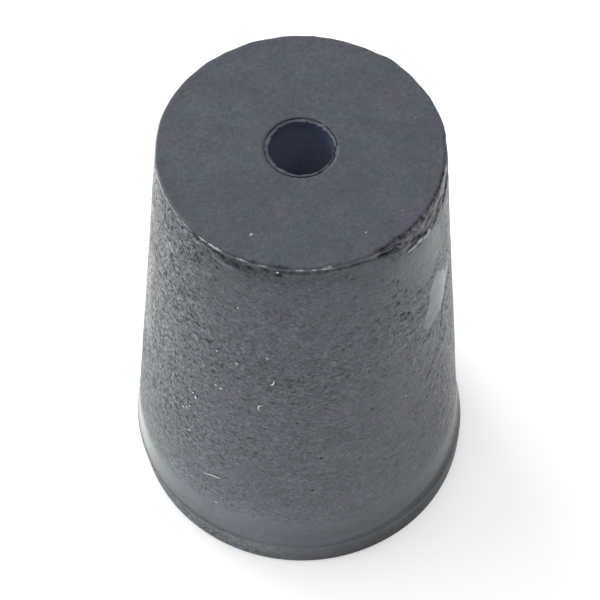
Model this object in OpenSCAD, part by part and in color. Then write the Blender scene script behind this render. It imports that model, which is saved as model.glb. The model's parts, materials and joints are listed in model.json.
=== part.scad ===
// One-hole rubber stopper: a tapered plug moulded in one piece.
// It stands on its wide end. The origin is where the bore's axis meets the wide
// face, and +Z runs along the bore to the narrow end. All sizes are in millimetres.
//
// The mould has two halves. The upper one forms the taper, down to the parting
// line. The lower one forms the land, a short straight band at the wide end, and
// it sat a little to one side when this stopper was pressed.

/* [Body] */
// Diameter of the wide end, across the land
wide_d = 19; // [17:0.1:24]
// Diameter of the narrow end, before its rim is rounded
narrow_d = 13.8; // [11:0.1:15]
// Length from the wide face to the narrow face
length = 26.5; // [20:0.1:40]
// Radius of the rim round the narrow face
rim_r = 0.15; // [0.05:0.01:0.5]

/* [Land at the wide end] */
// Height of the land, which is where the mould parts
land_h = 1.9; // [1:0.1:4]
// How far the land sits to one side of the taper
land_shift = 0.2; // [0:0.05:0.4]
// Radius of the edge round the wide face
base_edge_r = 0.25; // [0.1:0.01:0.8]
// Radius of the two edges that meet at the parting line
seam_edge_r = 0.12; // [0.05:0.01:0.3]

/* [Flare above the land] */
// Height over which the taper curves out to meet the parting line
flare_h = 2.1; // [1:0.1:5]
// How far the flare stands out from the straight taper
flare_out = 0.08; // [0.03:0.01:0.2]

/* [Bore] */
// Diameter of the hole for a glass tube
bore_d = 3.1; // [2:0.1:6]
// Diameter of the shallow seat that the core pin's shoulder leaves round the bore
seat_d = 3.5; // [3.2:0.1:7]
// Depth of that seat below the narrow face
seat_depth = 0.1; // [0.05:0.01:0.5]

/* [Hidden] */
rubber = "#46484d";
fine = 720;            // facets on the large circles
edge_fine = 96;        // facets on the small edge circles
cut = 1;               // how far a cutter runs past the face it cuts

wide_r = wide_d / 2;
narrow_r = narrow_d / 2;
taper_h = length - land_h;
// Half angle of the straight taper, which would meet the parting line flare_out
// inside the land
half_angle = atan((wide_r - flare_out - narrow_r) / taper_h);

// Where the flare leaves the straight taper
flare_z = land_h + flare_h;
flare_x = taper_x(flare_z);
// The foot of the flare, seen from there: along the taper, and out from it
foot_along = (wide_r - flare_x) * sin(half_angle) + flare_h * cos(half_angle);
foot_out = (wide_r - flare_x) * cos(half_angle) - flare_h * sin(half_angle);
// The hollow arc that touches the taper at that point and ends at the foot
flare_r = (foot_along * foot_along + foot_out * foot_out) / (2 * foot_out);
flare_centre = [flare_x + flare_r * cos(half_angle), flare_z + flare_r * sin(half_angle)];

// The rounded foot touches the parting plane and the flare's arc
foot_centre_z = land_h + seam_edge_r;
foot_centre = [
    flare_centre.x - sqrt(pow(flare_r + seam_edge_r, 2) - pow(flare_centre.y - foot_centre_z, 2)),
    foot_centre_z
];
foot_touch = flare_centre + (foot_centre - flare_centre) * flare_r / (flare_r + seam_edge_r);

// The rounded rim touches the narrow face and the straight taper
rim_centre_z = length - rim_r;
rim_centre = [taper_x(rim_centre_z) - rim_r / cos(half_angle), rim_centre_z];
rim_touch = rim_centre + rim_r * [cos(half_angle), sin(half_angle)];

// Radius of the straight taper at height z
function taper_x(z) = narrow_r + (length - z) * tan(half_angle);

// Half section of the tapered part, right of the axis, with x as the radius
module taper_section() {
    difference() {
        union() {
            polygon([
                [0, land_h],
                [foot_centre.x, land_h],
                foot_touch,
                [flare_x, flare_z],
                rim_touch,
                [rim_centre.x, length],
                [0, length]
            ]);
            translate(foot_centre) circle(r = seam_edge_r, $fn = edge_fine);
            translate(rim_centre) circle(r = rim_r, $fn = edge_fine);
        }
        translate(flare_centre) circle(r = flare_r, $fn = fine);
    }
}

// Half section of the land, with its lower and upper edges rounded
module land_section() {
    lower = [wide_r - base_edge_r, base_edge_r];
    upper = [wide_r - seam_edge_r, land_h - seam_edge_r];
    polygon([
        [0, 0],
        [lower.x, 0],
        [wide_r, lower.y],
        [wide_r, upper.y],
        [upper.x, land_h],
        [0, land_h]
    ]);
    translate(lower) circle(r = base_edge_r, $fn = edge_fine);
    translate(upper) circle(r = seam_edge_r, $fn = edge_fine);
}

// The hole right through, and the shallow seat round it in the narrow face
module bore() {
    translate([0, 0, -cut])
        cylinder(d = bore_d, h = length + 2 * cut, $fn = fine);
    translate([0, 0, length - seat_depth])
        cylinder(d = seat_d, h = seat_depth + cut, $fn = fine);
}

module stopper() {
    color(rubber)
        difference() {
            union() {
                rotate_extrude($fn = fine) taper_section();
                translate([land_shift, 0, 0])
                    rotate_extrude($fn = fine) land_section();
            }
            bore();
        }
}

stopper();
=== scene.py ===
import json
import bpy
import numpy as np
from mathutils import Matrix, Vector


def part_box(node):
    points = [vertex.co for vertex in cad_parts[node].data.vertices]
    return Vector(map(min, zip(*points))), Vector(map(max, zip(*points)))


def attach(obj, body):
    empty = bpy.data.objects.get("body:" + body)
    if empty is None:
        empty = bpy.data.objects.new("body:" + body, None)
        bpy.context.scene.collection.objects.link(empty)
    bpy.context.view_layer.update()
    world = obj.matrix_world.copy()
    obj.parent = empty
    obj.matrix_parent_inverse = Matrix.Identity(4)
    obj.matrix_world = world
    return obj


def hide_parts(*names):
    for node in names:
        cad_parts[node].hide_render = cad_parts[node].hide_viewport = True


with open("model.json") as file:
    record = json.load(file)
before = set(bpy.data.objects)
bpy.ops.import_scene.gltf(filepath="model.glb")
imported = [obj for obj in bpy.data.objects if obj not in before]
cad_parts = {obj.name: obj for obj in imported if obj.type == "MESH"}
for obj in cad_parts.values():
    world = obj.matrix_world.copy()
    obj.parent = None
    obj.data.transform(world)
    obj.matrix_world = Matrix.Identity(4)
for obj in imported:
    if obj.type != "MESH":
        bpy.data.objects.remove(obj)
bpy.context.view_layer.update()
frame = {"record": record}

# ---------------------------------------------------------------------------
# The stopper. A tapered plug of black vulcanised rubber, pressed in one piece
# in a two-part mould round a core pin. The upper half of the mould made the
# taper, the lower half the short straight land, and the two met 1.9 mm up.
# ---------------------------------------------------------------------------
MM = 0.001
low, high = (np.array(corner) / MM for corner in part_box("stopper"))
bore_mount = next(m for m in frame["record"]["mounts"] if m["name"] == "bore")

length = high[2]                             # wide face to narrow face
wide_r = (high[1] - low[1]) / 2
land_shift = high[0] - wide_r                # how far the land sits towards +X
bore_r = bore_mount["dims"]["r_mm"]
narrow_r = 6.9
land_h = 1.9
base_edge_r = 0.25
rim_r = 0.15
flare_h = 2.1                                # height over which the taper curves out to the land
flare_out = 0.08                             # how far it stands out from the straight taper
face_drop = 0.012                            # the face lies this far below its own rim
seat_r = 1.75                                # mark that the core pin's shoulder left round the bore
seat_off = (-0.07, -0.06)                    # how far off the bore's axis that mark lies
mouth_r = 0.05                               # worn edge where the bore opens
columns = 400                                # grid steps round the axis


def bell(value, centre, width):
    """1 at the centre and falling off on both sides, as exp(-(distance / width) squared)."""
    return np.exp(-((value - centre) / width) ** 2)


def ramp(value, start, end):
    """0 before start, 1 after end, and a smooth step between them."""
    t = np.clip((value - start) / (end - start), 0, 1)
    return t * t * (3 - 2 * t)


def side_radius(z):
    """Radius of the outside at a height.

    The land is straight. Above it the taper is straight too, plus a parabola near
    its foot that brings it out to the land. A shallow valley marks the parting line.
    """
    slope = (wide_r - flare_out - narrow_r) / (length - land_h)
    taper = narrow_r + (length - z) * slope
    flare = flare_out * np.clip((land_h + flare_h - z) / flare_h, 0, 1) ** 2
    valley = 0.02 * bell(z, land_h + 0.25, 0.3)
    return np.where(z < land_h, wide_r, taper + flare) - valley


def outline():
    """The half section as radius and height, in order once round the rubber."""
    # rows lie closest together at the parting line and at the torn rim
    z = np.concatenate([
        np.linspace(base_edge_r, 1.6, 8, endpoint=False),
        np.linspace(1.6, 2.5, 18, endpoint=False),
        np.linspace(2.5, 4, 8, endpoint=False),
        np.linspace(4, 24.6, 120, endpoint=False),
        np.linspace(24.6, length - rim_r, 41),
    ])
    # the rounded rim and the rounded edge of the wide face, as arcs round their centres
    rim_z = length - rim_r
    rim_arc = np.radians(np.array([20, 40, 60, 78]))
    rim_arc = rim_r * np.stack([np.cos(rim_arc), np.sin(rim_arc)], 1)
    rim = [side_radius(rim_z) - rim_r, rim_z] + rim_arc
    edge_arc = np.radians(np.array([-90, -70, -50, -30, -12]))
    edge_arc = base_edge_r * np.stack([np.cos(edge_arc), np.sin(edge_arc)], 1)
    edge = [wide_r - base_edge_r, base_edge_r] + edge_arc
    face_r = np.array([6.74, 6.66, 6.58, 6.5, 6.42, 6.32, 6.2, 6, 5.3, 4.5, 3.6, 2.8, 2.2, 1.98, 1.88, 1.82])
    face = np.stack([face_r, length - face_drop * (1 - ramp(face_r, 6.45, 6.72))], 1)
    # round the bore: a fine groove, the ring inside it, and the worn mouth
    ring = [[1.785, -0.03], [1.765, -0.11], [1.745, -0.15], [1.72, -0.12], [1.7, -0.075],
            [1.66, -0.06], [1.62, -0.06], [1.585, -0.072], [1.562, -0.095], [1.55, -0.13]]
    ring = np.array(ring) + [0, length - face_drop]
    bore_z = np.linspace(length - 0.4, mouth_r, 9)
    bore = np.stack([np.full(9, bore_r), bore_z], 1)
    foot = np.array([[bore_r + 0.015, 0.015], [bore_r + mouth_r, 0], [2.4, 0], [4, 0], [6, 0], [8, 0]])
    return np.concatenate([foot, edge, np.stack([side_radius(z), z], 1), rim, face, ring, bore])


def cell_value(cell, seed):
    """A random number from 0 to 1 that belongs to each whole-number cell.

    The cell's three numbers are each multiplied by a large prime and added. Shifts
    and further multiplications then shuffle the lowest 32 bits.
    """
    primes = np.array([73856093, 19349663, 83492791])
    lowest_32 = 0xFFFFFFFF
    h = (cell.astype(np.int64) * primes).sum(-1) + seed * 2654435761
    h = (h ^ (h >> 13)) * 1274126177 & lowest_32
    h = (h ^ (h >> 16)) * 2246822519 & lowest_32
    return (h ^ (h >> 15)) / lowest_32


def noise(points, size, seed):
    """Smooth noise from -1 to 1, another pattern for each seed.

    Random values stand on a cubic lattice, size mm apart, and are blended between its corners.
    """
    p = points / size
    cell = np.floor(p)
    f = p - cell
    f = f * f * (3 - 2 * f)
    total = 0
    for corner in np.ndindex(2, 2, 2):
        weight = np.prod(np.where(corner, f, 1 - f), axis=-1)
        total = total + weight * cell_value(cell + corner, seed)
    return total * 2 - 1


def pits(points, spacing, radius, seed):
    """Round dimples from 0 to 1 deep: one to each cubic cell, at a random spot and of a random radius."""
    p = points / spacing
    cell = np.floor(p)
    deepest = np.zeros(points.shape[:-1])
    for step in np.ndindex(3, 3, 3):
        near = cell + step - 1
        spot = near + np.stack([cell_value(near, seed + k) for k in range(3)], -1)
        size = 0.45 + 0.55 * cell_value(near, seed + 3)
        away = np.sum((p - spot) ** 2, axis=-1) * (spacing / (radius * size)) ** 2
        deepest = np.maximum(deepest, size * np.clip(1 - away, 0, 1) ** 1.5)
    return deepest


def span(angle, first, last, soft):
    """1 between two angles in degrees and 0 outside them, with soft ends."""
    half = soft / 2
    return ramp(angle, first - half, first + half) * (1 - ramp(angle, last - half, last + half))


def on_left(angle, start, full):
    """0 before start, 1 past full, and 0 again at the back.

    Both are degrees clockwise from +X, by way of the front and the left.
    """
    clockwise = -angle % 360
    return ramp(clockwise, start, full) * (1 - ramp(clockwise, 215, 255))


def off_line(u, v, du, dv):
    """Distance from the point (u, v) to the straight line that runs from the origin to (du, dv)."""
    t = np.clip((u * du + v * dv) / (du * du + dv * dv), 0, 1)
    return np.hypot(u - t * du, v - t * dv)


def along_path(angle, z, path, width):
    """1 on a line drawn on the side through (degrees, mm) points, falling off as a bell of that width."""
    away = np.full(np.broadcast_shapes(angle.shape, z.shape), np.inf)
    for (a0, z0), (a1, z1) in zip(path[:-1], path[1:]):
        mm = np.radians(1) * side_radius((z0 + z1) / 2)
        away = np.minimum(away, off_line((angle - a0) * mm, z - z0, (a1 - a0) * mm, z1 - z0))
    return bell(away, 0, width)


def patch(angle, z, corners, soft, wander):
    """1 inside a shape drawn on the side by its (degrees, mm) corners, 0 outside, blurred over soft mm.

    A point is inside if a level line from it crosses the shape's edges an odd number
    of times. wander moves the edge outwards by so many mm.
    """
    mm = np.radians(1) * side_radius(np.mean([height for _, height in corners]))
    inside = np.zeros(np.broadcast_shapes(angle.shape, z.shape), bool)
    away = np.full(inside.shape, np.inf)
    for (a0, z0), (a1, z1) in zip(corners, corners[1:] + corners[:1]):
        u, v = (angle - a0) * mm, z - z0
        du, dv = (a1 - a0) * mm, z1 - z0
        away = np.minimum(away, off_line(u, v, du, dv))
        inside ^= ((z0 > z) != (z1 > z)) & (u < v * du / (dv if dv else 1e-9))
    return ramp(np.where(inside, away, -away) + wander, -soft / 2, soft / 2)


# Marks on the side, each as (degrees round from +X, mm up from the wide face)
scuff = [
    (-14.5, 19.5), (-17.5, 18.6), (-21, 17.7), (-26, 17.5), (-33, 17.3), (-36.5, 17.8),
    (-33.5, 19.2), (-31.5, 20.2), (-26.5, 20.9),
]
smooth_spot = [
    (-46, 25), (-38, 24.8), (-31, 24.9), (-25, 25.2), (-21, 23.6), (-20, 22.4),
    (-21, 21.6), (-24, 22.1), (-31, 21.5), (-36, 21.6), (-43, 22.9), (-48, 24.2),
]
scratches = [
    [(-11.5, 18.8), (-22.3, 17.5), (-26.3, 14.4), (-30.5, 14)],
    [(-16.1, 14.7), (-28, 14.3), (-36.4, 13.1)],
]
# The worst pits: (degrees, mm up, half the length in degrees, half the width in mm)
worst_pits = np.array([
    [-52.2, 22.5, 0.5, 0.065], [-55.5, 21.98, 0.3, 0.06], [-48.9, 20.66, 0.3, 0.085],
    [-41.9, 19.87, 0.8, 0.07], [-38.1, 19.78, 0.9, 0.09], [-51.5, 19.53, 0.3, 0.09],
    [-56.1, 19.88, 0.8, 0.065], [-62, 20.72, 0.5, 0.1], [-42, 17.8, 0.4, 0.085],
    [-44, 18.62, 0.3, 0.075], [-38.4, 21.14, 0.6, 0.06], [-30.9, 21.09, 0.4, 0.06],
    [-52.5, 23.73, 0.3, 0.055], [-37.8, 18.16, 0.3, 0.065], [-45.5, 20.32, 0.5, 0.055],
    [-35, 19.13, 0.6, 0.06], [-70.1, 21.14, 0.9, 0.06], [-66, 20.4, 0.8, 0.05],
    [-60.3, 21.35, 0.8, 0.05], [-69.6, 25.21, 0.7, 0.05],
])
# Dark lines round the rim (weight below 0), cuts with painted shadow under the flash and in the tear's
# crevices, and pale strips with painted highlights (above 0): weight, half width in mm, and path.
# Past 26.5 mm a path goes on inwards over the narrow face.
rim_marks = [
    # the tear, on the right
    (-0.3, 0.1, [(-12, 26.4), (-19.1, 26.36), (-24.9, 26.24), (-27.6, 26.26), (-31.7, 26.29),
                 (-37.9, 26.28), (-42.8, 26.2)]),
    (-0.35, 0.09, [(-42.8, 26.2), (-46.6, 26.3), (-50.2, 26.36), (-60, 26.4)]),
    (-0.3, 0.09, [(-9.5, 26.21), (-11, 25.04), (-12.6, 24.53)]),
    (-0.7, 0.1, [(-27, 25.5), (-28.8, 25.3), (-31.3, 25.11), (-32.8, 25.09), (-34.9, 25.15), (-37.5, 25.34)]),
    (-0.6, 0.08, [(-38.2, 25.35), (-40.6, 25.28), (-43, 25.26), (-45.2, 25.29)]),
    (-0.4, 0.05, [(-51.7, 26.5), (-49.3, 26.57), (-48.1, 26.5)]),
    (-0.3, 0.14, [(-35.2, 26.35), (-31.8, 26.1)]),
    (-0.5, 0.12, [(-49.3, 25.74), (-48.8, 25.4)]),
    (-0.35, 0.16, [(-56.4, 26.05), (-55.1, 25.93)]),
    (-0.4, 0.15, [(-53.2, 25.62), (-51.8, 25.26)]),
    (-0.4, 0.12, [(-50.7, 26.18), (-47.7, 25.87)]),
    (0.2, 0.16, [(-25.2, 25.39), (-29.6, 25.41), (-34.8, 25.59), (-39.9, 25.72), (-46.7, 25.7)]),
    (1.2, 0.09, [(-13.4, 25.89), (-16.7, 25.95), (-19.5, 25.91)]),
    (1.2, 0.11, [(-10.6, 24.21), (-14.6, 24.45), (-17.6, 24.62)]),
    (0.9, 0.09, [(-24, 26.04), (-25, 25.89)]),
    (2.0, 0.07, [(-31.3, 25.0), (-32.2, 24.95)]),
    (1.6, 0.07, [(-33.6, 24.88), (-34.9, 24.95)]),
    (1.3, 0.07, [(-36.9, 25.06), (-38.8, 25.17)]),
    (1.1, 0.06, [(-40.1, 25.08), (-44.1, 25.1)]),
    (0.6, 0.08, [(-46.7, 25.98), (-48.8, 25.76)]),
    # painted shadow under the flash, on the left, and pale lines below it
    (-0.7, 0.1, [(-134.5, 26.3), (-132.3, 26.25)]),
    (-0.7, 0.1, [(-131.2, 26.28), (-127.7, 26.2), (-123.4, 26.15), (-120.6, 26.1)]),
    (-0.42, 0.28, [(-120, 26.0), (-115.9, 25.95)]),
    (-0.42, 0.36, [(-114, 25.9), (-108.9, 25.9), (-102.2, 25.9), (-99.2, 25.95)]),
    (-0.5, 0.11, [(-109.1, 26), (-108.5, 26)]),
    (-0.5, 0.07, [(-108, 26.42), (-107.2, 26.46)]),
    (-0.5, 0.11, [(-104.6, 26.19), (-103.8, 26.15), (-101.8, 26.04)]),
    (-0.5, 0.05, [(-101.3, 26.32), (-100.2, 26.4), (-97.8, 26.42), (-94, 26.4)]),
    (-0.9, 0.11, [(-98, 25.88), (-97.3, 25.9)]),
    (0.5, 0.08, [(-124.3, 25.7), (-120.8, 25.62), (-116, 25.6)]),
    (0.4, 0.07, [(-97.3, 26.3), (-94, 26.33)]),
]
# The lower edge of the torn rim
tear_foot = [
    (-62, 26.3), (-56, 25.95), (-52, 25.8), (-46, 25.6), (-40, 25.46), (-35, 25.2), (-31, 24.95),
    (-27, 24.85), (-22, 25.15), (-14, 24.95), (-6, 25.4), (2, 26.1), (8, 26.5),
]


def stopper_surface():
    """The outline turned about the axis, then moved by its relief along the surface's own normal.

    Returns the points, and for each of them six numbers that tell its rubber how to look:
    grain, how strongly the fine grain shows; pitting, the share of spots with a fine pit;
    polish, glossy above 0 and dull below; shade, pale above 0 and dark below; talc, the
    share of pale colour painted as light; and hue, purple above 0, green below it, and blue far below.
    """
    section = outline()
    ahead = np.roll(section, -1, 0) - np.roll(section, 1, 0)
    normal_rz = np.stack([ahead[:, 1], -ahead[:, 0]], 1)
    normal_rz /= np.linalg.norm(normal_rz, axis=1, keepdims=True)
    turn = np.linspace(-np.pi, np.pi, columns, endpoint=False)[None]
    angle = np.degrees(turn)
    clockwise = -angle % 360
    r, z = section[:, :1], section[:, 1:]
    ring = np.stack([np.cos(turn), np.sin(turn), 0 * turn], -1)
    up = np.array([0, 0, 1.0])
    points = r[..., None] * ring + z[..., None] * up
    normals = normal_rz[:, :1, None] * ring + normal_rz[:, 1:, None] * up
    outside = normal_rz[:, :1] > 0.15
    face = (normal_rz[:, 1:] > 0.8) & (z > length - 0.3)
    side = outside * ~face
    bore_wall = r < bore_r + 0.001
    land = outside * (1 - ramp(z, land_h - 0.05, land_h + 0.15))

    # the side is pitted from the top of the flare up to the rim, but for two smooth places
    patchy = 0.5 + 0.5 * noise(points, 2.6, 21)
    pitted = outside * ramp(z + 0.5 * noise(points, 2.2, 22), 3.4, 5) * (1 - ramp(z, 26.15, 26.35))
    wander = 0.16 * noise(points, 0.6, 23) + 0.1 * noise(points, 0.25, 24)
    scuffed = outside * patch(angle, z, scuff, 0.2, wander)
    smooth = outside * patch(angle, z, smooth_spot, 0.9, 3 * wander)

    # the tear: a bevel broken off the rim in layers that run along it, with a ragged lower edge
    ragged = 0.1 * noise(points, 0.45, 31) + 0.09 * noise(points, 0.2, 32)
    tear_edge = np.interp(angle, *zip(*tear_foot)) + ragged
    near_tear = span(angle, -60, 6, 4)
    torn = outside * ramp(z, tear_edge - 0.05, tear_edge + 0.05) * near_tear
    layers = 0.8 * noise(points * np.array([1, 1, 2]), 0.55, 37) + 0.5 * noise(points, 0.22, 39)
    # the rim's own cuts and pale strips, with their painted shadows and highlights, followed from the side
    # over onto the face
    past_rim = length + narrow_r - rim_r - r + 0.015
    section_z = np.where(face, past_rim, z) + 0.03 * noise(points, 0.3, 38)
    rim_cuts_light_and_shade = sum(weight * along_path(angle, section_z, path, wide) for weight, wide, path in rim_marks)
    rim_cuts_light_and_shade = rim_cuts_light_and_shade * (1 + 0.4 * noise(points, 0.25, 36)) * (outside | face)

    # the rim from left to right: a dark hollow under it, then a groove, then the tear; the hollow and the
    # groove are painted dark as well, as shade
    soft_band = bell(z, 25.75, 0.45) * span(angle, -101, -66, 10) * outside
    groove_z = 26.16 + 0.06 * noise(points, 1.1, 42) - 0.3 * ramp(angle, -66, -54)
    groove_wide = 0.1 + 0.05 * noise(points, 0.9, 43)
    groove = bell(z, groove_z, groove_wide) * span(angle, -99, -50, 4) * outside
    lip = 0.03 * bell(z, length - 0.06, 0.08) * (1 + 0.8 * noise(points, 0.5, 44)) * (1 - torn) * outside
    burr = 0.07 * bell(angle, 51, 4) * bell(z, length - 0.1, 0.12) * outside

    # dimples all over the side, and pits close together where the mould was worn most
    worst = np.maximum(bell(angle, -45, 12) * bell(z, 20.2, 2.8), bell(angle, -24, 8) * bell(z, 21.6, 1))
    degree = np.radians(1) * 7.5                 # mm on the side, at the height of the worst pits
    pit_away = [np.hypot(np.maximum(np.abs(angle - across) - half, 0) * degree, z - height) / wide
                for across, height, half, wide in worst_pits]
    deep_pit = bell(np.min(pit_away, axis=0), 0, 1) * outside
    plain = (1 - scuffed) * (1 - 0.5 * smooth) * (1 - torn)
    dimple = pits(points, 0.62, 0.22, 11) * pitted * plain * ramp(patchy, 0.3, 0.7)
    scratch = np.maximum(*[along_path(angle, z, path, 0.09) for path in scratches]) * outside

    # all of the relief, in mm
    relief = -0.05 * dimple - 0.04 * scratch - 0.05 * deep_pit
    relief += 0.014 * noise(points, 2.3, 5) * outside * ramp(z, 2.5, 5)
    relief += 0.012 * noise(points, 0.55, 6) * pitted * plain
    relief += lip + burr - 0.05 * groove - 0.03 * soft_band + 0.05 * np.clip(rim_cuts_light_and_shade, -1, 0.6)
    relief += torn * (0.05 * layers - 0.06)
    relief += 0.005 * noise(points, 3, 7) * face
    points = points + normals * relief[..., None]

    # the ring round the bore is ragged, and its groove all but closes towards +X
    open_side = 0.15 + 0.85 * ramp(-np.cos(turn - 0.25), -0.75, 0.3)
    in_groove = (np.abs(r - seat_r) < 0.055) & (z < length - face_drop - 0.02) & (z > length - 0.5)
    points[..., 2] += in_groove * (length - face_drop - 0.045 - z) * (1 - open_side)
    at_mouth = (r < 1.64) & (z > length - 0.2)
    torn_mouth = 0.045 * noise(points, 0.16, 45) + 0.025 * noise(points, 0.45, 46)
    points += (at_mouth * torn_mouth)[..., None] * ring
    points[..., 2] = np.minimum(points[..., 2], length)

    # the lower half of the mould sat to one side, and so did the shoulder of the core pin
    # on the side where the land stands out the flare runs down to it, on the other it hangs over
    from_z = land_h - 0.07 - 0.45 * ramp(-np.cos(turn), 0, 0.8)
    to_z = land_h + 0.07 + 0.5 * ramp(np.cos(turn), 0, 0.8)
    share = land_shift * (1 - ramp(z, from_z, to_z)) * ramp(r, bore_r + 0.3, 8)
    # and the land is a little flat towards +X, full to the right of the front
    off_round = -0.1 * bell(angle, 8, 14) * ramp(z, 0.5, 1.5) + 0.02 * bell(angle, -42, 18)
    points += (share / land_shift * off_round * outside)[..., None] * ring
    points[..., 0] += share
    ring_share = face * ramp(r, bore_r, 1.62) * (1 - ramp(r, 1.9, 2.6))
    points[..., 0] += seat_off[0] * ring_share
    points[..., 1] += seat_off[1] * ring_share
    points[..., :2] = np.clip(points[..., :2], low[:2], high[:2])

    # grain: the mould was most worn at the far left and the far right, and least just right of the front
    amount = np.interp(angle, [-170, -150, -135, -115, -97, -82, -67, -49, -30, -15, 90, 150],
                       [1.8, 1.4, 1.1, 0.9, 0.8, 0.75, 0.6, 0.5, 1.0, 2.0, 0.8, 1.1], period=360)
    by_height = np.interp(z, [5, 8, 11, 14.5, 18, 21, 24], [0.4, 0.42, 0.5, 0.45, 0.65, 0.43, 0.31])
    far_left = on_left(angle, 118, 152)
    amount = amount * (by_height * (1 - far_left) + (0.6 + 0.35 * ramp(z, 7, 12)) * far_left)
    amount += 0.3 * worst
    grain = pitted * plain * amount * (0.85 + 0.3 * patchy)
    grain = np.maximum(grain, 0.1 + 0.02 * face + 0.6 * land * on_left(angle, 80, 125) + 0.4 * torn)
    pitting = pitted * plain * (0.02 + 0.5 * worst + 0.05 * ramp(patchy, 0.5, 0.9))
    # polish: the flare, the scuff and the smooth spot shine a little, and the face is dull
    polish = np.clip(outside * (1 - ramp(z, 3.2, 4.6)) - land, 0, 1)
    polish = np.clip(polish + scuffed + 0.5 * smooth, 0, 1) - 1.5 * face

    # shade at the foot: painted light on the flare's front and left, where it turns up towards the windows,
    # and painted shade on its right; painted shade in the seam's crease and on the land, and darker towards
    # the bench
    right = span(angle, -85, 20, 40)
    left = on_left(angle, 105, 140)
    not_behind = 1 - ramp(clockwise, 188, 206)
    shade = 0.5 * side * bell(z, 3.1, 1) * on_left(angle, 130, 160) * not_behind
    shade += 0.22 * side * bell(z, 4.1, 1.7) * on_left(angle, 50, 115)
    shade += -0.4 * side * bell(z, 2, 0.4) * on_left(angle, 95, 125) - 0.25 * left * land * ramp(z, 0.5, 1.5)
    shade += -0.6 * side * right * (1 - ramp(z, 1.5, 2.0)) - 0.2 * side * right * bell(z, 2.9, 0.8)
    shade += -0.25 * side * (1 - ramp(z, 0.3, 1.5)) - 0.035 * side * ramp(z, 4.5, 7)
    # broad darker patches higher up, and painted shade on the land right of the front, next to the stopper's
    # shadow on the bench
    shade += -0.1 * side * bell(z, 10, 1.5) * on_left(angle, 125, 140)
    shade += -0.07 * side * ramp(z, 23, 25) * (1 - torn)
    shade += -0.45 * side * bell(angle, -30, 14) * (1 - ramp(z, 1.6, 2.4))
    shade += -0.2 * side * bell(angle, -45, 22) * bell(z, 1.3, 0.6)
    shade += -0.17 * side * bell(angle, -128, 28) * ramp(z, 5, 24)
    shade += -0.2 * side * ramp(z, 22.5, 25.5) * left
    shade += -0.08 * side * bell(angle, -90, 22) * bell(z, 18, 3) + 0.03 * face
    shade += -0.42 * bell(angle, -29, 16) * bell(z, 9, 5) * side
    # each mark in the relief has its own tone: the scuff and the smooth spot are painted paler, as the
    # highlight on their smoother rubber, and cuts and pits dark
    shade += (0.08 + 0.2 * ramp(z, 17.2, 19.2) + 0.3 * noise(points, 0.6, 54)) * scuffed + 0.12 * smooth
    # painted shade in the hollow and the groove under the rim
    shade += -0.18 * soft_band - 0.35 * groove * (1 + 0.8 * noise(points, 0.3, 49))
    # painted shade: the tear's bevel darker, with paler layers, and the pits and scratches darker, as the
    # shade in them; the rim marks add their painted shadows and highlights
    shade += torn * (-0.3 + 0.4 * layers) + rim_cuts_light_and_shade - 0.2 * dimple - 0.4 * scratch - 0.45 * deep_pit
    # and darker in two broad patches on the right of the side
    shade += -0.12 * side * bell(angle, -18, 8) * ramp(z, 18.5, 21) * (1 - torn)
    shade += -0.06 * bell(angle, -40, 20) * side
    # painted highlight on three stretches of the ring round the bore
    ring_highlight = span(angle, 38, 95, 10) + span(angle, -150, -88, 10) + span(angle, 8, 30, 8)
    on_ring = bell(r, 1.61, 0.05) * (z > length - 0.2)
    shade += 0.7 * ring_highlight * on_ring * ramp(noise(points, 0.3, 47), -0.6, 0.3)
    # painted shade at either end of the bore, fading over 3.5 mm, against the light that reaches in at the
    # top; painted light deeper down, where less light reaches
    in_bore = bore_wall * np.clip((length / 2 - np.abs(z - length / 2)) / 3.5, 0, 1)
    shade += -0.45 * bore_wall * (1 - in_bore)
    talc = 0.75 * in_bore

    # painted highlight on the far left of the side, towards the left window, in pale colour: a crescent on
    # the flare, and patches higher up, paler and shinier
    edge_breakup = 0.5 + 0.5 * noise(points, 1.5, 55) + 0.4 * noise(points, 0.4, 56)
    window_edge = ramp(clockwise, 157, 170) * not_behind
    crescent = ramp(z, 2.3, 2.6) * (1 - ramp(z, 3.6, 4.3)) * on_left(angle, 145, 166) * not_behind
    talc = talc + 0.45 * side * crescent
    talc = talc + 0.2 * side * ramp(z, 11, 14) * window_edge * ramp(edge_breakup, 0, 0.8)
    shade += 0.45 * side * ramp(z, 11, 14) * window_edge * ramp(edge_breakup, 0, 0.8)
    brightest_edge = ramp(clockwise, 172, 180) * not_behind * ramp(edge_breakup, -0.3, 0.5)
    talc = talc + 0.65 * side * ramp(z, 10, 14) * brightest_edge
    # and the palest rim marks are painted pale as well, as highlight
    talc = talc + np.clip(rim_cuts_light_and_shade - 0.5, 0, 0.8)

    # hue: freshly torn rubber is purplish, the left side a little green, and the bore blue
    hue = 0.45 * torn + 0.3 * (outside | face) * bell(angle, -36, 12) * bell(z, length, 0.3) * (r > 6.4)
    hue = hue - 0.3 * side * on_left(angle, 125, 160) * (1 - ramp(z, 10, 14) * on_left(angle, 145, 160))
    hue = hue - 0.2 * smooth + 0.05 * face
    hue = hue - 0.25 * bell(angle, -117, 5) * bell(z, 26, 0.4) * outside
    hue = hue - 0.3 * side * bell(z, 5.5, 2) * span(angle, -168, -138, 14)
    hue = np.maximum(hue, -0.24) - 2 * bore_wall
    return points, grain, pitting, polish, shade, talc, hue


def smooth_object(name, points, faces):
    """An object at the origin, from its points in mm and its faces, each a list of point numbers."""
    mesh = bpy.data.meshes.new(name)
    mesh.from_pydata((points.reshape(-1, 3) * MM).tolist(), [], faces)
    mesh.polygons.foreach_set("use_smooth", np.ones(len(mesh.polygons), bool))
    mesh.update()
    made = bpy.data.objects.new(name, mesh)
    bpy.context.scene.collection.objects.link(made)
    return made


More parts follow.
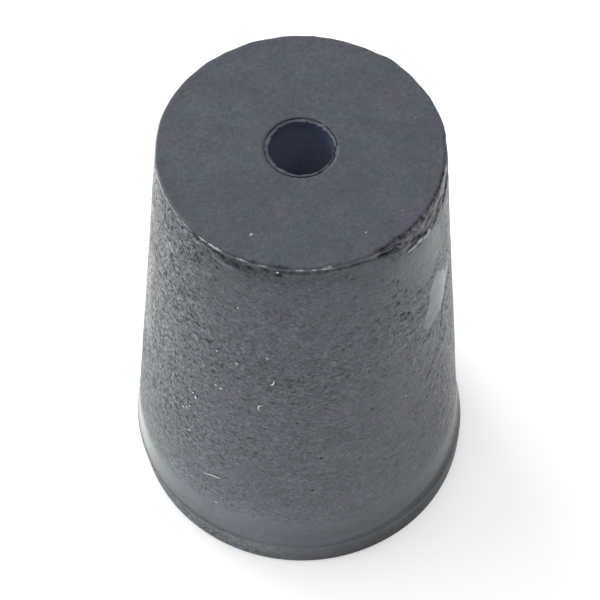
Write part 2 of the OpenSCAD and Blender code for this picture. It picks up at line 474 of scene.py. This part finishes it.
def closed_grid(name, points):
    """A closed grid: the rows join end to start, and so do the columns."""
    rows, cols = points.shape[:2]
    i = np.arange(rows)[:, None]
    j = np.arange(cols)[None]
    i2, j2 = (i + 1) % rows, (j + 1) % cols
    quads = np.stack(np.broadcast_arrays(i * cols + j, i * cols + j2, i2 * cols + j2, i2 * cols + j), -1)
    return smooth_object(name, points, quads.reshape(-1, 4).tolist())


points, *looks = stopper_surface()
stopper = closed_grid("stopper_body", points)
look_names = ("grain", "pitting", "polish", "shade", "talc", "hue")
for name, values in zip(look_names, looks):
    layer = stopper.data.attributes.new(name, "FLOAT", "POINT")
    layer.data.foreach_set("value", np.broadcast_to(values, points.shape[:2]).astype(np.float32).ravel())


def linear(hex_code):
    """An sRGB hex colour as linear red, green, blue and alpha."""
    c = np.array([int(hex_code[k:k + 2], 16) for k in (1, 3, 5)]) / 255
    c = np.where(c <= 0.04045, c / 12.92, ((c + 0.055) / 1.055) ** 2.4)
    return (*c.tolist(), 1.0)


def add_node(tree, kind, sockets=(), **settings):
    """Adds a node and sets its properties. Each socket named takes a link from an output, or a value."""
    made = tree.nodes.new(kind)
    for key, value in settings.items():
        if hasattr(made, key):
            setattr(made, key, value)
        else:
            made.inputs[key.replace("_", " ")].default_value = value
    for socket, source in dict(sockets).items():
        if isinstance(source, bpy.types.NodeSocket):
            tree.links.new(source, made.inputs[socket])
        else:
            made.inputs[socket].default_value = source
    return made


def moulded_rubber():
    """Vulcanised black rubber as it leaves a worn mould: matt and faintly grey with bloom.

    The fine grain's height is painted into the colour, as shade in the low points and light on the high
    ones, so it shows as pale and dark flecks. Smooth places are a little glossier, and the face is dull.
    """
    grain_size = 0.29 * MM
    fine_size = 0.16 * MM
    fold_size = 0.5 * MM
    pit_spacing = 0.42 * MM
    bloom_size = 1.8 * MM
    cast_size = 1.3 * MM
    deepest = 0.03 * MM                          # from the grain's low points to its high ones
    material = bpy.data.materials.new("moulded_black_rubber")
    material.use_nodes = True
    tree = material.node_tree
    tree.nodes.clear()
    place = add_node(tree, "ShaderNodeTexCoord").outputs["Object"]
    grain, pitting, polish, shade, talc, hue = (
        add_node(tree, "ShaderNodeAttribute", attribute_name=name).outputs["Fac"] for name in look_names)
    # fine grain: separate low and high flecks, a little flattened
    flat = add_node(tree, "ShaderNodeVectorMath", {0: place, 1: (1, 1, 1.1)}, operation="MULTIPLY")
    flat = flat.outputs[0]
    coarse = add_node(tree, "ShaderNodeTexNoise", {"Vector": flat}, Scale=1 / grain_size, Detail=1.0,
                      Distortion=1.3)
    fine = add_node(tree, "ShaderNodeTexNoise", {"Vector": flat}, Scale=1 / fine_size, Detail=0.0)
    rough = add_node(tree, "ShaderNodeMath", {0: fine.outputs["Fac"], 1: 0.35, 2: coarse.outputs["Fac"]},
                     operation="MULTIPLY_ADD")
    hollow = add_node(tree, "ShaderNodeMapRange", {"Value": rough.outputs[0]},
                      From_Min=0.62, From_Max=0.45, To_Min=0, To_Max=1.05)
    raised = add_node(tree, "ShaderNodeMapRange", {"Value": rough.outputs[0]},
                      From_Min=0.7, From_Max=0.88, To_Min=0, To_Max=1.0)
    grainy = add_node(tree, "ShaderNodeMath", {0: raised.outputs[0], 1: hollow.outputs[0]},
                      operation="SUBTRACT")
    # short creases: broken contour lines of a wider noise, 0.1 mm across
    folds = add_node(tree, "ShaderNodeTexNoise", {"Vector": flat}, Scale=1 / fold_size, Detail=0.0)
    folds = add_node(tree, "ShaderNodeMath", {0: folds.outputs["Fac"], 1: 0.5}, operation="SUBTRACT")
    folds = add_node(tree, "ShaderNodeMath", {0: folds.outputs[0]}, operation="ABSOLUTE")
    folds = add_node(tree, "ShaderNodeMapRange", {"Value": folds.outputs[0]},
                     From_Min=0.09, From_Max=0.02, To_Min=0, To_Max=0.5)
    broken = add_node(tree, "ShaderNodeMapRange", {"Value": fine.outputs["Fac"]}, From_Min=0.55, From_Max=0.4)
    crease = add_node(tree, "ShaderNodeMath", {0: folds.outputs[0], 1: broken.outputs[0]},
                      operation="MULTIPLY")
    grainy = add_node(tree, "ShaderNodeMath", {0: grainy.outputs[0], 1: crease.outputs[0]},
                      operation="SUBTRACT")
    grainy = add_node(tree, "ShaderNodeMath", {0: grainy.outputs[0], 1: grain}, operation="MULTIPLY")
    # pits 0.15 mm across: a cell has one where its own random number is below the pitting
    cells = add_node(tree, "ShaderNodeTexVoronoi", {"Vector": place}, Scale=1 / pit_spacing)
    uneven = add_node(tree, "ShaderNodeMath", {0: fine.outputs["Fac"], 1: 0.3, 2: cells.outputs["Distance"]},
                      operation="MULTIPLY_ADD")
    inside = add_node(tree, "ShaderNodeMapRange", {"Value": uneven.outputs[0]}, From_Min=0.45, From_Max=0.25)
    lot = add_node(tree, "ShaderNodeSeparateColor", {0: cells.outputs["Color"]})
    drawn = add_node(tree, "ShaderNodeMath", {0: lot.outputs[0], 1: pitting}, operation="LESS_THAN")
    pit = add_node(tree, "ShaderNodeMath", {0: inside.outputs[0], 1: drawn.outputs[0]}, operation="MULTIPLY")
    height = add_node(tree, "ShaderNodeMath", {0: pit.outputs[0], 1: -0.8, 2: grainy.outputs[0]},
                      operation="MULTIPLY_ADD").outputs[0]
    # tone: that height, painted as shade low and light high, cloudy bloom, and the marks and painted light
    # and shade that the shade attribute carries
    bloom = add_node(tree, "ShaderNodeTexNoise", {"Vector": place}, Scale=1 / bloom_size, Detail=3.0)
    tone = add_node(tree, "ShaderNodeMath", {0: height, 1: shade}, operation="ADD")
    tone = add_node(tree, "ShaderNodeMath", {0: bloom.outputs["Fac"], 1: 0.3, 2: tone.outputs[0]},
                    operation="MULTIPLY_ADD")
    tone = add_node(tree, "ShaderNodeMapRange", {"Value": tone.outputs[0]}, From_Min=-0.85, From_Max=1.15)
    tint = add_node(tree, "ShaderNodeValToRGB", {"Fac": tone.outputs[0]})
    stops = tint.color_ramp.elements
    stops[0].color = linear("#15161a")
    stops[1].color = linear("#737a84")
    stops.new(0.5).color = linear("#464b55")
    # the cast multiplies the colour: green, then near neutral in two steps, then purple, with
    # faint clouds of their own; at the very start of the scale, far below green, it is blue
    clouds = add_node(tree, "ShaderNodeTexNoise", {"Vector": place}, Scale=1 / cast_size, Detail=1.0)
    hue = add_node(tree, "ShaderNodeMath", {0: clouds.outputs["Fac"], 1: hue}, operation="ADD")
    cast = add_node(tree, "ShaderNodeValToRGB", {"Fac": hue.outputs[0]})
    stops = cast.color_ramp.elements
    stops[0].color = (0.74, 0.84, 1.25, 1)
    stops[1].position = 0.95
    stops[1].color = (1.16, 0.92, 1.06, 1)
    stops.new(0.01).color = (0.93, 1.04, 0.97, 1)
    stops.new(0.2).color = (0.93, 1.04, 0.97, 1)
    stops.new(0.38).color = (0.97, 1.01, 1.0, 1)
    stops.new(0.62).color = (1.04, 0.99, 1.01, 1)
    # pale colour painted as light, deep in the bore, along the left edge and on the palest rim marks; it sits
    # on high points
    light_share = add_node(tree, "ShaderNodeMath", {0: height, 1: 0.8, 2: 1.0}, operation="MULTIPLY_ADD")
    light_share = add_node(tree, "ShaderNodeMath", {0: light_share.outputs[0], 1: talc}, operation="MULTIPLY",
                      use_clamp=True)
    # a Mix node of colours takes them at inputs 6 and 7 and gives its result at output 2
    lightened = add_node(tree, "ShaderNodeMix",
                      {0: light_share.outputs[0], 6: tint.outputs[0], 7: linear("#c6c4b8")}, data_type="RGBA")
    tinted = add_node(tree, "ShaderNodeMix", {0: 1.0, 6: lightened.outputs[2], 7: cast.outputs[0]},
                      data_type="RGBA", blend_type="MULTIPLY")
    bump = add_node(tree, "ShaderNodeBump", {"Height": height}, Strength=1.0, Distance=deepest)
    # low points are half hidden from the light, so they shine less
    shine = add_node(tree, "ShaderNodeMapRange", {"Value": tone.outputs[0]}, From_Min=0.0, From_Max=1.0,
                     To_Min=0.1, To_Max=0.9)
    # not clamped, so that a polish below 0 is rougher still
    gloss = add_node(tree, "ShaderNodeMapRange", {"Value": polish}, clamp=False, To_Min=0.36, To_Max=0.22)
    shader = add_node(tree, "ShaderNodeBsdfPrincipled",
                      {"Base Color": tinted.outputs[2], "Normal": bump.outputs[0],
                       "Roughness": gloss.outputs[0], "Specular IOR Level": shine.outputs[0]}, IOR=1.52)
    add_node(tree, "ShaderNodeOutputMaterial", {"Surface": shader.outputs[0]})
    return material


stopper.data.materials.append(moulded_rubber())
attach(stopper, "root")
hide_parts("stopper")

# ---------------------------------------------------------------------------
# Flash on the narrow rim. Thin skins of the same rubber, squeezed out where the
# core pin's plate closed the mould over the narrow face, and only partly trimmed.
# They are pale with bloom, and painted paler still as the highlight their edges catch.
# ---------------------------------------------------------------------------
rng = np.random.default_rng(7)
strand_sides = 8                             # points round each strand


def strands(name, centres, facing, width, thickness):
    """Thin closed strips: an ellipse carried along each path, its flat side towards facing.

    centres and facing have the shape (strands, steps, 3), width and thickness
    (strands, steps), as half the ellipse's two axes. Both ends are capped.
    """
    along = np.gradient(centres, axis=1)
    along /= np.linalg.norm(along, axis=-1, keepdims=True)
    across = np.cross(facing, along)
    across /= np.linalg.norm(across, axis=-1, keepdims=True)
    out = np.cross(along, across)
    turn = (2 * np.pi * np.arange(strand_sides) / strand_sides)[:, None]
    rings = (centres[:, :, None] + width[..., None, None] * np.cos(turn) * across[:, :, None]
             + thickness[..., None, None] * np.sin(turn) * out[:, :, None])
    # nothing stands above the narrow face's rim
    rings[..., 2] = np.minimum(rings[..., 2], length - 0.001)
    count, steps = centres.shape[:2]
    ring = np.arange(count * steps * strand_sides).reshape(count, steps, strand_sides)
    after = np.roll(ring, -1, 2)
    quads = np.stack([ring[:, :-1], after[:, :-1], after[:, 1:], ring[:, 1:]], -1).reshape(-1, 4)
    caps = np.concatenate([ring[:, 0, ::-1], ring[:, -1]])
    return smooth_object(name, rings, quads.tolist() + caps.tolist())


def flecked(name, fleck_size, roughness, dark, light, dark_end=0, light_end=1):
    """Two tones mixed by a soft noise, whose lowest values are dark and its highest light."""
    material = bpy.data.materials.new(name)
    material.use_nodes = True
    tree = material.node_tree
    shader = tree.nodes["Principled BSDF"]
    shader.inputs["Roughness"].default_value = roughness
    place = add_node(tree, "ShaderNodeTexCoord").outputs["Object"]
    fleck = add_node(tree, "ShaderNodeTexNoise", {"Vector": place}, Scale=1 / fleck_size)
    tint = add_node(tree, "ShaderNodeValToRGB", {"Fac": fleck.outputs["Fac"]})
    for stop, position, tone in zip(tint.color_ramp.elements, (dark_end, light_end), (dark, light)):
        stop.position = position
        stop.color = linear(tone)
    tree.links.new(tint.outputs[0], shader.inputs["Base Color"])
    return material


def skin_bloom_and_highlight():
    """Rubber skin stretched thin and bloomed, chalky grey and quite matt, and painted paler as the highlight
    on the flash.
    """
    return flecked("bloomed_rubber_skin", fleck_size=0.25 * MM, roughness=0.6,
                   dark="#8a8c91", light="#bfc0c4", dark_end=0.3, light_end=0.7)


# each skin's first and last angle in degrees, its depth below the rim, and half its width
skins = np.array([
    [-166, -144, 0.03, 0.025],
    [-142, -138, 0.05, 0.03],
    [-132, -127.9, 0.02, 0.055],
    [-135, -130.8, 0.48, 0.03],
    [-127, -120.3, 0.03, 0.06],
    [-125.3, -124.5, -0.05, 0.04],
    [-114.3, -109.4, 0.02, 0.05],
    [-105.8, -102.1, 0.03, 0.03],
    [-91.7, -88, 0.04, 0.052],
    [-85.8, -83.2, 0.04, 0.055],
    [-82, -77.5, 0.04, 0.058],
    [-79.7, -77.9, -0.03, 0.07],
    [-17, -5, 0.05, 0.025],
])
u = np.linspace(0, 1, 40)[None]
skin_angle = np.radians(skins[:, :1] + (skins[:, 1:2] - skins[:, :1]) * u)
skin_z = length - 0.05 - skins[:, 2:3] + 0.012 * rng.standard_normal(skin_angle.shape)
skin_r = side_radius(skin_z) + 0.01 + 0.01 * rng.standard_normal(skin_angle.shape)
radial = np.stack([np.cos(skin_angle), np.sin(skin_angle), 0 * skin_angle], -1)
skin_path = skin_r[..., None] * radial + skin_z[..., None] * np.array([0, 0, 1.0])
# widest in the middle, and uneven
skin_width = skins[:, 3:] * np.sin(np.pi * np.clip(u, 0.01, 0.99)) ** 0.4
skin_width = skin_width * (0.8 + 0.3 * rng.random(skin_angle.shape))
skin_facing = radial * 0.5 + np.array([0, 0, 0.85])
rim_flash = strands("rim_flash", skin_path, skin_facing, skin_width, 0.4 * skin_width)
rim_flash.data.materials.append(skin_bloom_and_highlight())
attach(rim_flash, "root")
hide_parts("stopper")

# ---------------------------------------------------------------------------
# Dust and lint. Grey grains and short fibres that cling to the rubber, most of
# them too small to see one by one.
# ---------------------------------------------------------------------------


def on_side(angle, z, lift):
    """Points on the side at angles in degrees and heights, standing off by lift, and the way out there.

    x and y are the side's radius at that height plus lift, times the angle's cosine and sine.
    """
    a = np.radians(angle)
    radial = np.stack([np.cos(a), np.sin(a), 0 * a], -1)
    reach = side_radius(z) + lift
    return np.stack([reach * np.cos(a), reach * np.sin(a), z], -1), radial


def house_dust(name, dark, light):
    """House dust and lint: matt fluff, slightly uneven in tone from grain to grain."""
    return flecked(name, fleck_size=2 * MM, roughness=0.8, dark=dark, light=light)


grey_dust = house_dust("grey_dust", "#7c7d80", "#b4b5b8")
white_lint = house_dust("white_lint", "#b4b5b8", "#f0f1f3")
# grains that can be seen: on the face by x and y, on the side by angle and height, with half their size
face_grains = np.array([
    [-2.23, -5.06, 0.085],
    [3.01, -4.86, 0.072],
    [5.41, 1.85, 0.048],
    [4.72, -3.6, 0.042],
])
side_grains = np.array([
    [-98.2, 26.14, 0.055],
    [-129.6, 13.52, 0.075],
    [-131, 13.75, 0.05],
    [-136.1, 12.48, 0.055],
    [-135.3, 11.75, 0.05],
    [-133.8, 12, 0.055],
    [-132.4, 12.3, 0.06],
    [-131.8, 10.1, 0.065],
    [-121, 15.78, 0.05],
    [-118.9, 15.67, 0.06],
    [-113.2, 22.8, 0.04],
    [-101.3, 19.5, 0.05],
    [-121, 18.7, 0.06],
    [-126.6, 16.8, 0.045],
    [-112.8, 18.4, 0.05],
    [-119, 4.62, 0.05],
    [-47.3, 13.5, 0.045],
])
stray = 60                                   # grains strewn at random
stray_grains = np.stack([rng.uniform(-180, 180, stray), rng.uniform(3, 26, stray),
                         rng.uniform(0.015, 0.03, stray)], 1)
on_face = np.concatenate([face_grains[:, :2], length - 0.02 - 0.25 * face_grains[:, 2:]], 1)
straight_up = np.tile([0, 0, 1.0], (len(face_grains), 1))
grain_steps = np.linspace(0.03, 0.97, 7) * np.pi


def grains(name, place, out, size, finish):
    """Lumps drawn out along the surface: short strands whose width rises and falls as a half sine."""
    heading = np.cross(out, rng.standard_normal(out.shape))
    heading /= np.linalg.norm(heading, axis=1, keepdims=True)
    reach = size[:, None] * rng.uniform(0.9, 1.6, (len(size), 1))
    path = place[:, None] - (reach * np.cos(grain_steps))[..., None] * heading[:, None]
    width = size[:, None] * np.sin(grain_steps) * rng.uniform(0.75, 1.15, (len(size), len(grain_steps)))
    made = strands(name, path, np.broadcast_to(out[:, None], path.shape), width, 0.6 * width)
    made.data.materials.append(finish)
    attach(made, "root")
    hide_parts("stopper")


grains("dust_on_face", on_face, straight_up, face_grains[:, 2], grey_dust)
for name, listed, lift_share, finish in (("lint_specks", side_grains, 0.4, white_lint),
                                         ("stray_dust", stray_grains, 0.3, grey_dust)):
    grain_angle, grain_z, half_size = listed.T
    grains(name, *on_side(grain_angle, grain_z, lift_share * half_size), half_size, finish)

# short fibres: each a cubic curve with a start, two pulls and an end on the side, in degrees and mm
fibres = np.array([
    [[-124.4, 6.95], [-122, 7.1], [-119.5, 7.25], [-117.3, 7.3]],
    [[-102.5, 15.42], [-104.4, 15.5], [-104.6, 15.1], [-103.5, 14.95]],
    [[-98.6, 17.75], [-98.8, 17.4], [-99.2, 17.4], [-99.9, 17.38]],
])
t = np.linspace(0, 1, 24)[:, None]           # steps along a fibre
bends = np.stack([(1 - t) ** 3, 3 * t * (1 - t) ** 2, 3 * t ** 2 * (1 - t), t ** 3])
on_path = np.einsum("ksx,fkc->fsc", bends, fibres)
fibre_path, fibre_out = on_side(on_path[..., 0], on_path[..., 1], 0.03)
fibre_width = 0.036 * np.sin(np.pi * np.clip(t[:, 0], 0.04, 0.96)) ** 0.5 * np.ones((len(fibres), 1))
lint = strands("lint_fibres", fibre_path, fibre_out, fibre_width, 0.8 * fibre_width)
lint.data.materials.append(white_lint)
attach(lint, "root")
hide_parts("stopper")

# ---------------------------------------------------------------------------
# The bench, the light and the camera. Matt white card in a pale room, with broad
# soft windows to the left and behind, seen from steeply above.
# ---------------------------------------------------------------------------
bench_half = 400 * MM


def white_bench():
    """Matt white card; camera and reflection rays see it a little brighter, so it reads as white."""
    material = bpy.data.materials.new("white_card")
    material.use_nodes = True
    tree = material.node_tree
    tree.nodes.clear()
    card = add_node(tree, "ShaderNodeBsdfDiffuse", Color=linear("#f4f6f4"))
    path = add_node(tree, "ShaderNodeLightPath")
    place = add_node(tree, "ShaderNodeTexCoord").outputs["Object"]
    # reflections see the card brighter towards the windows, to the left and behind
    near_window = add_node(tree, "ShaderNodeVectorMath", {0: place, 1: (-0.3, 0.85, 0)},
                           operation="DOT_PRODUCT")
    near_window = add_node(tree, "ShaderNodeMapRange", {"Value": near_window.outputs["Value"]},
                           From_Min=-14 * MM, From_Max=10 * MM, To_Min=0.2, To_Max=0.45)
    mirrored = add_node(tree, "ShaderNodeMath",
                        {0: path.outputs["Is Glossy Ray"], 1: near_window.outputs[0]}, operation="MULTIPLY")
    lift = add_node(tree, "ShaderNodeMath",
                    {0: path.outputs["Is Camera Ray"], 1: 0.35, 2: mirrored.outputs[0]},
                    operation="MULTIPLY_ADD")
    glow = add_node(tree, "ShaderNodeEmission", {"Strength": lift.outputs[0]})
    both = add_node(tree, "ShaderNodeAddShader", {0: card.outputs[0], 1: glow.outputs[0]})
    add_node(tree, "ShaderNodeOutputMaterial", {"Surface": both.outputs[0]})
    return material


bench_corners = [(x * bench_half, y * bench_half, 0) for x, y in ((-1, -1), (1, -1), (1, 1), (-1, 1))]
bench_mesh = bpy.data.meshes.new("bench")
bench_mesh.from_pydata(bench_corners, [], [(0, 1, 2, 3)])
bench = bpy.data.objects.new("bench", bench_mesh)
bench_mesh.materials.append(white_bench())
bpy.context.scene.collection.objects.link(bench)

world = bpy.data.worlds.new("pale_room")
bpy.context.scene.world = world
world.use_nodes = True
tree = world.node_tree
tree.nodes.clear()
path = add_node(tree, "ShaderNodeLightPath")
# the room lights at 0.9, and seen directly it is full white
shown = add_node(tree, "ShaderNodeMath", {0: path.outputs["Is Camera Ray"], 1: 0.1, 2: 0.9},
                 operation="MULTIPLY_ADD")
sky = add_node(tree, "ShaderNodeBackground", {"Strength": shown.outputs[0]})
add_node(tree, "ShaderNodeOutputWorld", {"Surface": sky.outputs[0]})


def window(name, azimuth, elevation, power, distance=350, size=200):
    """A square soft lamp at an azimuth and elevation round the stopper, aimed at its middle.

    Its distance and size are in mm, its power in watts.
    """
    data = bpy.data.lights.new(name, "AREA")
    data.size = size * MM
    data.energy = power
    lamp = bpy.data.objects.new(name, data)
    a, e = np.radians(azimuth), np.radians(elevation)
    lamp.location = Vector((np.cos(e) * np.cos(a), np.cos(e) * np.sin(a), np.sin(e))) * distance * MM
    to_middle = Vector((0, 0, length / 2 * MM)) - lamp.location
    lamp.rotation_euler = to_middle.to_track_quat("-Z", "Y").to_euler()
    bpy.context.scene.collection.objects.link(lamp)


window("left_window", 180, 12, 0.6)
window("back_window", 135, 35, 0.46)

camera_distance = 92.14                      # mm, from the point it aims at
camera_elevation = 57.565                    # degrees above the bench
camera_roll = -0.801                         # degrees
camera_aim = (0.04, 0, 13.02)                # mm
camera_lens = 102.73                         # mm, for a sensor 36 mm wide
sensor_width = 36
camera_data = bpy.data.cameras.new("camera")
camera_data.sensor_width = sensor_width
camera_data.lens = camera_lens
camera_data.clip_start = 5 * MM
camera_data.clip_end = 5000 * MM
camera = bpy.data.objects.new("camera", camera_data)
bpy.context.scene.collection.objects.link(camera)
elevation = np.radians(camera_elevation)
back = Vector((0, -np.cos(elevation), np.sin(elevation)))
turn = Matrix.Rotation(np.radians(camera_roll), 4, -back)
camera.matrix_world = (Matrix.Translation((Vector(camera_aim) + back * camera_distance) * MM)
                       @ turn @ (-back).to_track_quat("-Z", "Y").to_matrix().to_4x4())
bpy.context.scene.camera = camera
bpy.context.scene.view_settings.view_transform = "Standard"
